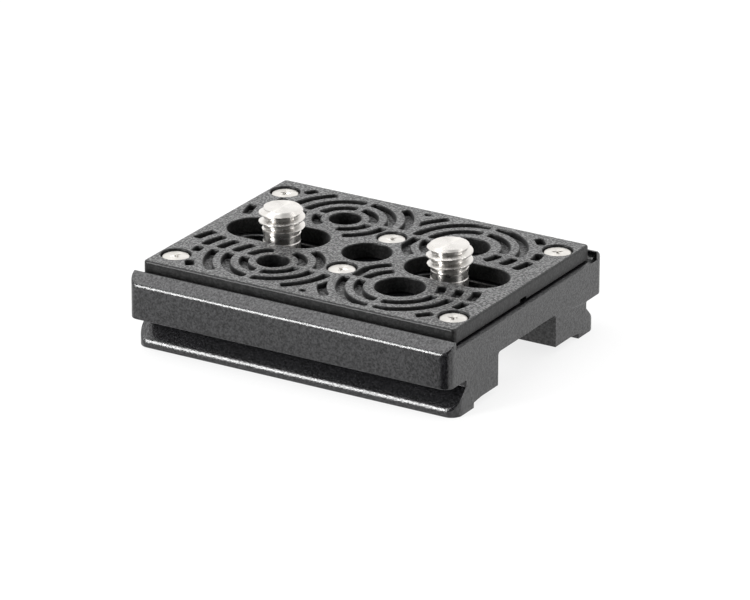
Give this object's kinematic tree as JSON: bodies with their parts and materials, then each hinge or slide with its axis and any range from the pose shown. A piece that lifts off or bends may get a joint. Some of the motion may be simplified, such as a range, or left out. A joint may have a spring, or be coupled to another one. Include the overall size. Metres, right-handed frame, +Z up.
{
  "type": "quick release plate",
  "caption": "Camera quick release plate: a black dovetail plate with a ring-grooved grip pad and bright camera screws that slide in slots.",
  "frame": {"origin": "middle of the plane that the two feet stand on", "axes": "+X along the dovetail, towards the end with the wider pad holes; +Z up out of the pad, along the camera screws"},
  "size_m": [0.05, 0.0418, 0.0162],
  "materials": {
    "anodised_plate": "black anodised, fine bead-blasted grain, satin",
    "moulded_pad": "spark-eroded mould texture, matt",
    "pad_screw_steel": "bright stainless steel, satin dome",
    "camera_screw_steel": "turned and polished stainless steel",
    "washer_steel": "plain rolled steel"
  },
  "bodies": {
    "plate": {"base_plate": "anodised_plate", "grip_pad": "moulded_pad", "pad_screw_back_left": "pad_screw_steel", "pad_screw_back_right": "pad_screw_steel", "pad_screw_front_left": "pad_screw_steel", "pad_screw_front_right": "pad_screw_steel", "pad_screw_back_middle": "pad_screw_steel", "pad_screw_front_middle": "pad_screw_steel"},
    "left_washer": {"left_slide_washer": "washer_steel"},
    "left_screw": {"left_camera_screw": "camera_screw_steel"},
    "right_washer": {"right_slide_washer": "washer_steel"},
    "right_screw": {"right_camera_screw": "camera_screw_steel"}
  },
  "joints": [
    {"name": "left_slide", "type": "slide", "parent": "plate", "child": "left_washer", "axis": [1, 0, 0], "range_m": [-0.0047, 0.0036]},
    {"name": "left_spin", "type": "hinge", "parent": "left_washer", "child": "left_screw", "pos_m": [-0.0135, 0, 0], "axis": [0, 0, 1], "continuous": true},
    {"name": "right_slide", "type": "slide", "parent": "plate", "child": "right_washer", "axis": [1, 0, 0], "range_m": [-0.003, 0.0053]},
    {"name": "right_spin", "type": "hinge", "parent": "right_washer", "child": "right_screw", "pos_m": [0.0129, 0, 0], "axis": [0, 0, 1], "continuous": true}
  ]
}
